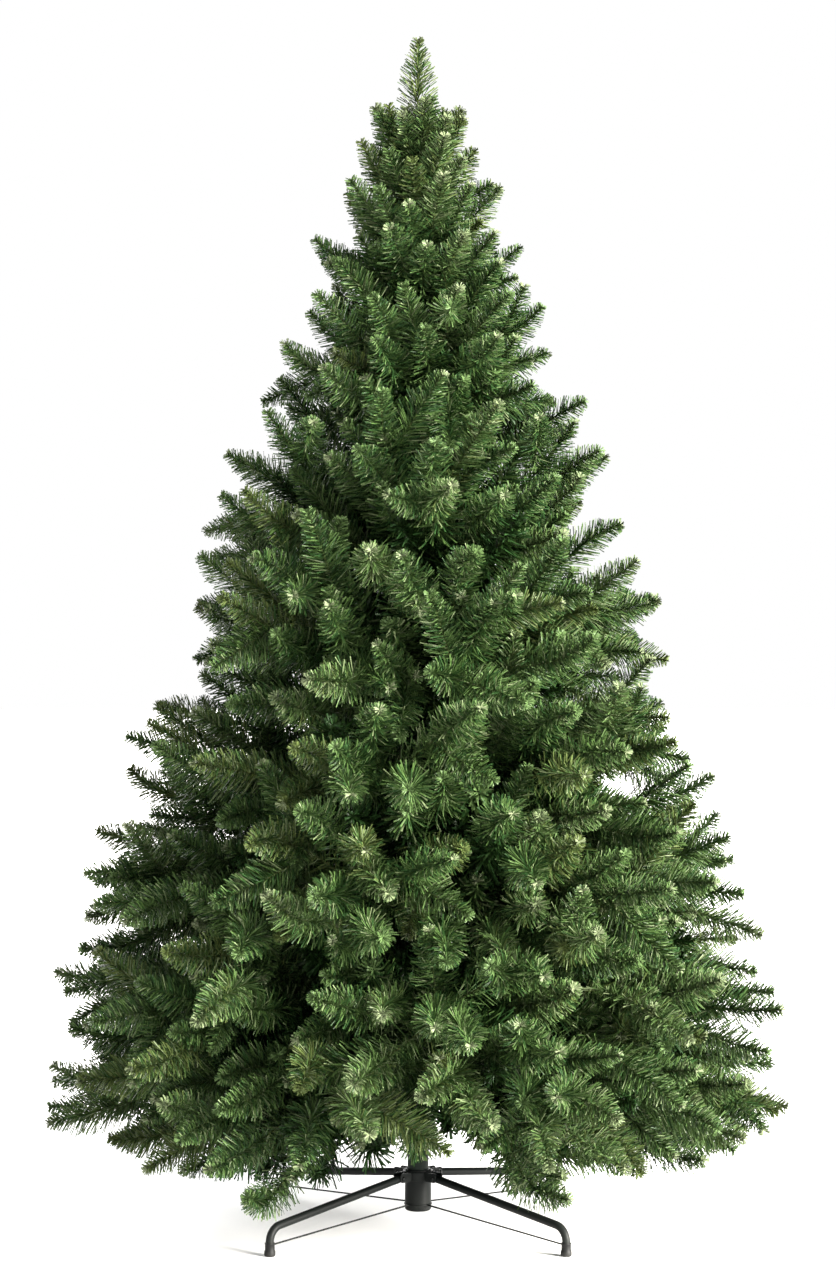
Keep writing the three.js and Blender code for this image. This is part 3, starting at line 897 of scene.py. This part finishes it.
def add_layer(canopy, layer):
    """Adds finer twigs whose tips fill a layer of the canopy evenly, and returns them."""
    added = []
    for number in range(CANDIDATES):
        for tier, place, azimuth, half in every_bough():
            seed = (tier, place, number + layer["shift"])
            tip = finer_tip(tier, azimuth, half, seed, layer["recesses"], layer["lowest"])
            if hides_stand(tip) or not canopy.is_free(tip, layer["spacing"]):
                continue
            root, fork, _ = limb_of(tier, azimuth)
            least = layer.get("least", spray_reach(tier))
            start = twig_root(root, fork, tip, least, **layer.get("leaving", {}))
            mix = "mixes" in layer and dealt(layer["mixes"], chance(*seed, DRAW_MIX))
            added.append(spray_between(start, tip, seed, mix, tier, **layer.get("dress", {})))
            canopy.add(added[-1])
    return added


def canopy_sprays(settings):
    """Every spray: the twigs of the solids, the top, finer twigs, side sprays, inner layers and stems."""
    canopy = Canopy()
    for tier, place, azimuth, half in every_bough():
        root, fork, tip = limb_of(tier, azimuth)
        canopy.add(spray_between(fork, tip, (tier, place, END_SPRAY)))
        for twig in range(TWIGS_PER_BOUGH[tier]):
            end = twig_tip(tier, place, azimuth, half, twig)
            start = twig_root(root, fork, end, spray_reach(tier))
            canopy.add(spray_between(start, end, (tier, place, twig), tier=tier))
    outer = list(canopy.sprays)
    for spray in top_sprays():
        canopy.add(spray)
    outer += add_layer(canopy, OUTER_LAYER)
    for spray in outer:
        add_side_sprays(canopy, spray, settings.side_sprays)
    add_layer(canopy, MIDDLE_LAYER)
    add_layer(canopy, INNER_LAYER)
    return [*canopy.sprays, *bough_stems()]


def bough_stems():
    """The stem of every bough."""
    for tier, place, azimuth, _ in every_bough():
        root, fork, _ = limb_of(tier, azimuth)
        yield stem_of(root, fork, (tier, place, STEM))


def stem_of(root, fork, seed):
    """The rod of a bough, with a few needles of its own in the dark tones of painted shade."""
    return Spray(root, (root + fork) / 2 + UP * STEM_RISE, fork, seed, "shaded", thinness=STEM_THINNESS)


def straight(root, tip, number, mix, **dress):
    """A straight spray on the tree's axis."""
    return Spray(root, (root + tip) / 2, tip, (WHORL_TIER, 0, number), mix, **dress)


def top_sprays():
    """The leader and the whorls round it."""
    sprays = [
        straight(LEADER_ROOT, SHOULDER, STEM, "cool", size=1.1, width=1.2, thinness=0.8),
        straight(SHOULDER, Vector((0, 0, TREE_HEIGHT)), LEADER, "warm", width=1.1),
    ]
    for whorl, (count, root, tip) in enumerate(WHORLS + FINE_WHORLS):
        for step in range(WHORL_SHARES * count):
            place = step / WHORL_SHARES
            finer = step % WHORL_SHARES > 0
            azimuth = 360 * place / count + WHORL_TURN_DEG * whorl
            seed = (WHORL_TIER, place, whorl)
            drop = finer * WHORL_DROP * chance(*seed, DRAW_SAG)
            reach = canopy_radius(tip - drop) * (1 - finer * WHORL_RECESS * chance(*seed, DRAW_RECESS))
            sprays.append(spray_between(Vector((0, 0, root)), around(azimuth, reach, tip - drop), seed))
    return sprays


# The needles
LEAST_NEEDLES = 8
DENSE_SPAN = 0.14
SPARSENESS = 0.4
NEEDLE_TAPER_SPAN = 0.11
NEEDLE_TAPER_POWER = 1.5
SHORTEST_NEEDLE = 0.22
NEEDLE_SIZES = (0.84, 1.06)
SPRAY_SIZES = (0.93, 1.09)
NEEDLE_TWIST = math.radians(90)
NEEDLE_POINT = 0.75
PALE_SHARE = 0.45
CREAM_SPAN = 0.006
YOUNG_SPAN = 0.024
YOUNG_TONES = {"cool": "leaf", "plain": "leaf", "warm": "olive", "bright": "light", "shaded": "deep"}
WIRE_TURN = 0.011
STRAND_SCATTER = 0.4
ASIDE = (0.31, 0.22, 0.92)
TIP_SWEEP = 1.06
TIP_CROWDING = 1.35
SWEEP_SCATTER_DEG = 4
LAID_SHARE = 0.2
LAID_SIZE = 0.42
NEEDLES_PER_PIECE = 95000


def needle_shapes(sprays, settings):
    """The needles of all sprays, gathered by their tones."""
    shapes = {tone: [] for tone in TONES}
    for index, spray in enumerate(sprays):
        random = np.random.default_rng(index)
        points, from_tip = spray_needles(spray, settings, random)
        tones, weights = zip(*MIXES[spray.mix].items())
        outer = spray.mix != "shaded"
        dealt_tones = random.choice(len(tones), len(points), p=weights)
        young = (from_tip < YOUNG_SPAN * random.uniform(0, 1, len(points))) & outer
        dealt_tones[young] = tones.index(YOUNG_TONES[spray.mix])
        pale = outer and chance(*spray.seed, DRAW_PALE) < PALE_SHARE
        creamy = (from_tip < CREAM_SPAN * random.uniform(0, 1, len(points))) & pale
        shapes["cream"].append(points[creamy])
        for number, tone in enumerate(tones):
            shapes[tone].append(points[(dealt_tones == number) & ~creamy])
    return {tone: np.concatenate(parts) for tone, parts in shapes.items()}


def spray_needles(spray, settings, random):
    """The needles of one spray, four points each, and how far each is rooted from the spray's tip."""
    length = spray.length()
    dense = min(length, DENSE_SPAN)
    sparse = (length - dense) * SPARSENESS
    count = max(LEAST_NEEDLES, int((dense + sparse) * spray.thinness / settings.pitch))
    along = ((np.arange(count) + random.uniform(0, 1, count)) / count) ** TIP_CROWDING * (dense + sparse)
    from_tip = np.where(along < dense, along, dense + (along - dense) / SPARSENESS)
    shares = np.clip(1 - from_tip / length, 0, 1)
    base = spray.path(shares)
    ahead = spray.heading(shares)
    first = np.cross(ahead, np.array(ASIDE))
    first /= np.linalg.norm(first, axis=1)[:, None]
    second = np.cross(ahead, first)
    laid = random.uniform(0, 1, count) < LAID_SHARE
    strand = np.arange(count) % 2
    turn = 2 * np.pi * from_tip / WIRE_TURN + np.pi * strand
    turn += random.uniform(-STRAND_SCATTER, STRAND_SCATTER, count)
    turn = np.where(laid, random.uniform(0, 2 * np.pi, count), turn)
    out = np.cos(turn)[:, None] * first + np.sin(turn)[:, None] * second
    grown = 1 - (1 - np.clip(from_tip / NEEDLE_TAPER_SPAN, 0, 1)) ** NEEDLE_TAPER_POWER
    size = settings.length * spray.size * (SHORTEST_NEEDLE + (1 - SHORTEST_NEEDLE) * grown)
    size *= random.uniform(*NEEDLE_SIZES, count) * between(*SPRAY_SIZES, *spray.seed, DRAW_SIZE)
    size = np.where(laid, size * LAID_SIZE, size)[:, None]
    sweep = settings.sweep * (TIP_SWEEP + (1 - TIP_SWEEP) * grown)
    sweep += np.radians(random.normal(0, SWEEP_SCATTER_DEG, count))
    way = np.cos(sweep)[:, None] * ahead + np.sin(sweep)[:, None] * out
    end = base + size * way
    flat = np.cross(ahead, out)
    edge = np.cross(flat, way)
    roll = random.uniform(0, np.pi, count)[:, None]
    half = settings.width * spray.width / 2
    foot = (np.cos(roll) * flat + np.sin(roll) * edge) * half
    roll = roll + NEEDLE_TWIST
    point = (np.cos(roll) * flat + np.sin(roll) * edge) * half * NEEDLE_POINT
    return np.stack([base - foot, base + foot, end + point, end - point], axis=1), from_tip


def add_needles(tone, points, material):
    """Makes the needles of one tone, in pieces of under 200,000 triangles."""
    for number, start in enumerate(range(0, len(points), NEEDLES_PER_PIECE)):
        part = points[start : start + NEEDLES_PER_PIECE]
        first = np.arange(len(part))[:, None] * 4
        shape = Shape().add(part, first + np.array([[0, 1, 2]]), first + np.array([[0, 2, 3]]))
        add_piece(f"needles_{tone}_{number + 1}", shape, material, smooth_deg=None)


# The twisted wires and rods
WIRE_SECTION = ((1.0, 0.0), (0.0, 0.62), (-1.0, 0.0), (0.0, -0.62))
WIRE_TWIST = math.radians(60)
WIRE_END = 0.97
WIRE_RADII = (0.0016, 0.00096)
WIRE_STEP = 0.016
LEAST_WIRE_RINGS = 4
LEAST_WIRE_DETAIL = 0.4
ROD_RADII = (0.0029, 0.00232)
TOP_ROD_RADII = (0.0028, 0.002)
ROD_STEP = 0.009


def add_wire(shape, spray, end_radii, step):
    """A twisted wire along a spray's path, with a ring at each step."""
    rings = max(LEAST_WIRE_RINGS, int(spray.length() / step))
    shares = np.linspace(0, WIRE_END, rings)
    points, faces = swept(spray.path(shares), WIRE_SECTION, np.linspace(*end_radii, rings), WIRE_TWIST)
    end = np.arange(len(points) - len(WIRE_SECTION), len(points))
    shape.add(points, faces, end[None, :])


# The pole and its hinges


def pole_shape():
    """The three plugged tubes, with a rolled lip on each lower one."""
    profile = [(0, POLE_FOOT_Z), (POLE_SECTIONS[0][1] - POLE_EDGE, POLE_FOOT_Z)]
    bottom = POLE_FOOT_Z + POLE_EDGE
    for (top, radius), (_, following) in zip(POLE_SECTIONS, POLE_SECTIONS[1:]):
        profile += [(radius, bottom), *((radius + out, top + up) for out, up in POLE_LIP)]
        profile.append((following + PLUG_PLAY, top))
        bottom = top + PLUG_SINK
    top, radius = POLE_SECTIONS[-1]
    profile += [(radius, bottom), *((radius + out, top + up) for out, up in POLE_END), (0, top)]
    return add_turned(Shape(), profile, POLE_SIDES)


def add_band(shape, corners, edge, steps=4, sides=64):
    """A ring round the tree's axis with eased edges."""
    eased = rounded(corners, edge, steps)
    add_turned(shape, eased + eased[:1], sides)


def add_cheeks(shape, outline, slot, thickness, azimuth):
    """A pair of flat plates at both sides of a slot, with an outline of (x, z) places."""
    count = len(outline)
    ends = np.array([np.arange(count), np.arange(count)[::-1] + count])
    faces = strip_faces(2, count)[:, ::-1]
    for side in (-1, 1):
        places = sorted((side * slot, side * (slot + thickness)))
        points = [(x, across, z) for across in places for x, z in outline]
        shape.add(turned_about_axis(points, azimuth), faces, ends)


def hinge_shape(thickness):
    """The brackets: a band at each tier, with a pair of cheeks and a pin for every bough."""
    shape = Shape()
    half = HINGE_HALF
    for tier in range(len(BOUGHS_PER_TIER)):
        z = root_z(tier)
        wall = pole_radius(z)
        band = upright(wall - HINGE_EDGE, wall + thickness, z, half)
        add_band(shape, band, HINGE_EDGE, steps=2, sides=POLE_SIDES)
    for tier, _, azimuth, _ in every_bough():
        z = root_z(tier)
        wall = pole_radius(z)
        cheek = upright(wall + HINGE_CHEEK_FROM, wall + HINGE_WIDTH, z, half)
        add_cheeks(shape, cheek, HINGE_SLOT, thickness, azimuth)
        pin = [(wall + HINGE_WIDTH * PIN_SHARE, across, z) for across in (-PIN_HALF, PIN_HALF)]
        add_tube(shape, turned_about_axis(pin, azimuth), PIN_RADIUS, sides=10)
    return shape


# The stand


def stand_tube_shape():
    """The socket: a drawn cup with a rolled bead near its foot and a lip at its top."""
    bore = POLE_SECTIONS[0][1] + PLUG_PLAY
    profile = [
        (0, TUBE_BOTTOM_Z),
        (TUBE_BASE_RADIUS, TUBE_BOTTOM_Z),
        *arc(TUBE_RADIUS - TUBE_EDGE, TUBE_BOTTOM_Z + TUBE_EDGE, TUBE_EDGE, 0, math.pi / 2),
        *arc(TUBE_RADIUS, BEAD_Z, BEAD, 0, math.pi),
        (TUBE_RADIUS, TUBE_TOP_Z - TUBE_RIM),
        (TUBE_RADIUS - TUBE_RIM, TUBE_TOP_Z),
        (bore + TUBE_MOUTH, TUBE_TOP_Z),
        (bore, TUBE_TOP_Z - TUBE_RIM),
        (bore, POLE_FOOT_Z),
        (0, POLE_FOOT_Z),
    ]
    return add_turned(Shape(), profile)


def collar_shape():
    """The leg collar: a band round the tube, with a pair of round-ended cheeks and a rivet for each leg."""
    shape = Shape()
    add_band(shape, upright(**COLLAR_BAND), COLLAR_EDGE)
    outline = rounded(upright(**COLLAR_CHEEK), CHEEK_ROUND, steps=5)
    for azimuth in LEGS.values():
        add_cheeks(shape, outline, LEG_RADIUS + LEG_PLAY, CHEEK_THICK, azimuth)
        add_rivet(shape, azimuth)
    return shape


def add_rivet(shape, azimuth):
    """A cross pin with two domed heads. Its rings are nudged apart where two share a place."""
    z = LEG_ROOT_Z - LEG_SLOPE * (RIVET_AT - LEG_ROOT)
    outer = LEG_RADIUS + LEG_PLAY + CHEEK_THICK
    half = [outer, outer, RIVET_HALF - RIVET_DOME, RIVET_HALF]
    places = [-place for place in half[::-1]] + half
    pin = [(RIVET_AT, place + number * RING_NUDGE, z) for number, place in enumerate(places)]
    add_tube(shape, turned_about_axis(pin, azimuth), np.array(RIVET_WIDTHS) * RIVET_RADIUS, sides=20)


def leg_points():
    """The line of a leg in its own upright plane: a gentle slope, a bend, and straight down."""
    slope = math.atan(LEG_SLOPE)
    bend_x = FOOT_FROM_AXIS - LEG_BEND
    start_x = bend_x + LEG_BEND * math.sin(slope)
    bend_z = LEG_ROOT_Z - LEG_SLOPE * (start_x - LEG_ROOT) - LEG_BEND * math.cos(slope)
    line = [(LEG_ROOT, LEG_ROOT_Z), (LEG_ROOT + LEG_FIRST_STEP, LEG_ROOT_Z - LEG_FIRST_STEP * LEG_SLOPE)]
    line += arc(bend_x, bend_z, LEG_BEND, math.pi - slope, math.pi / 2, places=15)
    line.append((FOOT_FROM_AXIS, FOOT_FLOOR))
    return [(x, 0, z) for x, z in line]


def foot_shape(azimuth):
    """A plastic cap: a bulged base, a sleeve with a bead at its mouth, and the bore of the leg."""
    place = Matrix.Translation(around(azimuth, FOOT_FROM_AXIS, 0))
    return add_turned(Shape(), FOOT_CAP, sides=40, matrix=place)


def brace_shape(azimuth):
    """A thin straight rod from the tube's bead to a foot."""
    line = np.linspace(*BRACE_ENDS, BRACE_RINGS)
    return add_tube(Shape(), turned_about_axis(line, azimuth), BRACE_RADIUS, sides=12)


def screw_shape():
    """The clamp screw: a ribbed shank, a six-sided nut near the collar, and a domed head."""
    lay = Matrix.Translation(SCREW_PLACE) @ Matrix.Rotation(math.pi / 2, 4, "Y")
    ribs = [(SHANK_RADII[rib % 2], rib * SHANK_RIB_STEP) for rib in range(SHANK_RIBS)]
    shape = add_turned(Shape(), [(0, 0), *ribs, *SHANK_END], sides=24, matrix=lay)
    add_turned(shape, NUT, sides=6, matrix=lay)
    return add_turned(shape, SCREW_HEAD, sides=32, matrix=lay)


# Operators


def nodes_named(start):
    """The names of the CAD nodes that begin with some letters."""
    return sorted(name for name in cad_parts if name.startswith(start))


def add_soft_light(name, strength, place, angle_deg, colour):
    """A broad soft light that shines evenly from one side."""
    light = bpy.data.lights.new(name, "SUN")
    light.angle = math.radians(angle_deg)
    light.energy = strength
    light.color = colour
    lamp = add_object(name, light)
    lamp.location = place
    lamp.rotation_euler = (-Vector(place)).to_track_quat("-Z", "Y").to_euler()


class TREE_OT_stage(bpy.types.Operator):
    """Makes the floor, the soft studio light and the camera"""

    bl_idname = "christmas_tree.stage"
    bl_label = "Stage"

    def execute(self, context):
        settings = context.scene.christmas_tree.stage
        corners = [(x * FLOOR_HALF, y * FLOOR_HALF, 0) for x, y in ((-1, -1), (1, -1), (1, 1), (-1, 1))]
        floor = add_object("floor", Shape().add(corners, [[0, 1, 2, 3]]).mesh("floor"))
        floor.data.materials.append(matt_floor("pale_floor", settings.floor))
        add_soft_light("key_light", settings.key, **KEY_LIGHT)
        add_soft_light("back_light", settings.back, **BACK_LIGHT)
        world = bpy.data.worlds.new("pale_room")
        world.use_nodes = True
        background = world.node_tree.nodes["Background"]
        background.inputs["Color"].default_value = (1, 1, 1, 1)
        background.inputs["Strength"].default_value = settings.sky
        context.scene.world = world
        context.scene.view_settings.view_transform = "Standard"
        camera = add_object("camera", bpy.data.cameras.new("camera"))
        camera.rotation_euler = (math.radians(90), 0, 0)
        camera.data.lens = settings.lens
        camera.data.clip_end = CLIP_END
        camera.location = (0, -settings.distance, settings.eye)
        context.scene.camera = camera
        return {"FINISHED"}


class TREE_OT_foliage(bpy.types.Operator):
    """Makes the twigs' wires and all the needles"""

    bl_idname = "christmas_tree.foliage"
    bl_label = "Foliage"

    def execute(self, context):
        settings = context.scene.christmas_tree.needles
        sprays = canopy_sprays(settings)
        wires = Shape()
        for spray in sprays:
            if spray.seed[2] != STEM:
                add_wire(wires, spray, WIRE_RADII, WIRE_STEP / max(spray.thinness, LEAST_WIRE_DETAIL))
        wire = plain_film("twig_wire", settings.wire, roughness=0.6)
        add_piece("twigs", wires, wire, nodes_named("foliage"), smooth_deg=50)
        for tone, points in needle_shapes(sprays, settings).items():
            add_needles(tone, points, plain_film(f"needle_{tone}", getattr(settings, tone), roughness=0.42))
        return {"FINISHED"}


class TREE_OT_boughs(bpy.types.Operator):
    """Makes the twisted rods of the boughs"""

    bl_idname = "christmas_tree.boughs"
    bl_label = "Boughs"

    def execute(self, context):
        metal = context.scene.christmas_tree.metal
        rods = Shape()
        for stem in bough_stems():
            add_wire(rods, stem, ROD_RADII, ROD_STEP)
        top = stem_of(LEADER_ROOT, SHOULDER, (WHORL_TIER, 0, STEM))
        add_wire(rods, top, TOP_ROD_RADII, ROD_STEP)
        paint = painted_steel("bough_paint", metal.rod, roughness=0.5, dust_top=0.05)
        add_piece("boughs", rods, paint, nodes_named("bough"), smooth_deg=50)
        return {"FINISHED"}


class TREE_OT_pole(bpy.types.Operator):
    """Makes the plugged tubes of the pole and their hinge brackets"""

    bl_idname = "christmas_tree.pole"
    bl_label = "Pole"

    def execute(self, context):
        metal = context.scene.christmas_tree.metal
        paint = painted_steel("pole_paint", metal.pole, roughness=0.42, dust_top=0.05)
        add_piece("pole", pole_shape(), paint, ["trunk_pole"])
        add_piece("hinge_brackets", hinge_shape(metal.bracket_thickness), paint)
        return {"FINISHED"}


class TREE_OT_stand(bpy.types.Operator):
    """Makes the tube, the collar, the legs and the braces of the stand"""

    bl_idname = "christmas_tree.stand"
    bl_label = "Stand"

    def execute(self, context):
        metal = context.scene.christmas_tree.metal
        paint = painted_steel("stand_paint", metal.stand, roughness=0.44, dust_top=0.08)
        add_piece("socket_tube", stand_tube_shape(), paint, ["stand_tube"])
        add_piece("collar", collar_shape(), paint, ["leg_collar"])
        for name, azimuth in LEGS.items():
            leg = add_tube(Shape(), turned_about_axis(leg_points(), azimuth), LEG_RADIUS, sides=28)
            brace = brace_shape(azimuth)
            add_piece(f"bent_leg_{name}", leg, paint, [f"leg_{name}"], smooth_deg=60)
            add_piece(f"brace_rod_{name}", brace, paint, [f"brace_{name}"], smooth_deg=60)
        return {"FINISHED"}


class TREE_OT_feet(bpy.types.Operator):
    """Makes the plastic caps on the legs"""

    bl_idname = "christmas_tree.feet"
    bl_label = "Feet"

    def execute(self, context):
        plastic = moulded_plastic("foot_plastic", context.scene.christmas_tree.metal.foot, roughness=0.55)
        for name, azimuth in LEGS.items():
            add_piece(f"foot_cap_{name}", foot_shape(azimuth), plastic, [f"foot_{name}"])
        return {"FINISHED"}


class TREE_OT_screw(bpy.types.Operator):
    """Makes the clamp screw in the collar"""

    bl_idname = "christmas_tree.screw"
    bl_label = "Clamp screw"

    def execute(self, context):
        steel = dark_zinc("screw_steel", context.scene.christmas_tree.metal.screw)
        add_piece("knurled_screw", screw_shape(), steel, ["clamp_screw"], smooth_deg=30)
        return {"FINISHED"}


class TREE_PT_panel(bpy.types.Panel):
    """The tree's settings and its pieces"""

    bl_idname = "TREE_PT_panel"
    bl_label = "Christmas tree"
    bl_space_type = "VIEW_3D"
    bl_region_type = "UI"
    bl_category = "Tree"

    def draw(self, context):
        tree = context.scene.christmas_tree
        for group in (tree.needles, tree.metal, tree.stage):
            box = self.layout.box()
            for name in group.bl_rna.properties.keys():
                if name not in ("rna_type", "name"):
                    box.prop(group, name)
        for operator in OPERATORS:
            self.layout.operator(operator.bl_idname)


OPERATORS = (
    TREE_OT_stage,
    TREE_OT_foliage,
    TREE_OT_boughs,
    TREE_OT_pole,
    TREE_OT_stand,
    TREE_OT_feet,
    TREE_OT_screw,
)
CLASSES = (NeedleSettings, MetalSettings, StageSettings, TreeSettings, *OPERATORS, TREE_PT_panel)


def register():
    for kind in CLASSES:
        bpy.utils.register_class(kind)
    bpy.types.Scene.christmas_tree = bpy.props.PointerProperty(type=TreeSettings)


def unregister():
    del bpy.types.Scene.christmas_tree
    for kind in reversed(CLASSES):
        bpy.utils.unregister_class(kind)


def main():
    """Makes every piece."""
    register()
    bpy.ops.christmas_tree.stage()
    bpy.ops.christmas_tree.foliage()
    bpy.ops.christmas_tree.boughs()
    bpy.ops.christmas_tree.pole()
    bpy.ops.christmas_tree.stand()
    bpy.ops.christmas_tree.feet()
    bpy.ops.christmas_tree.screw()


if __name__ == "__main__":
    main()
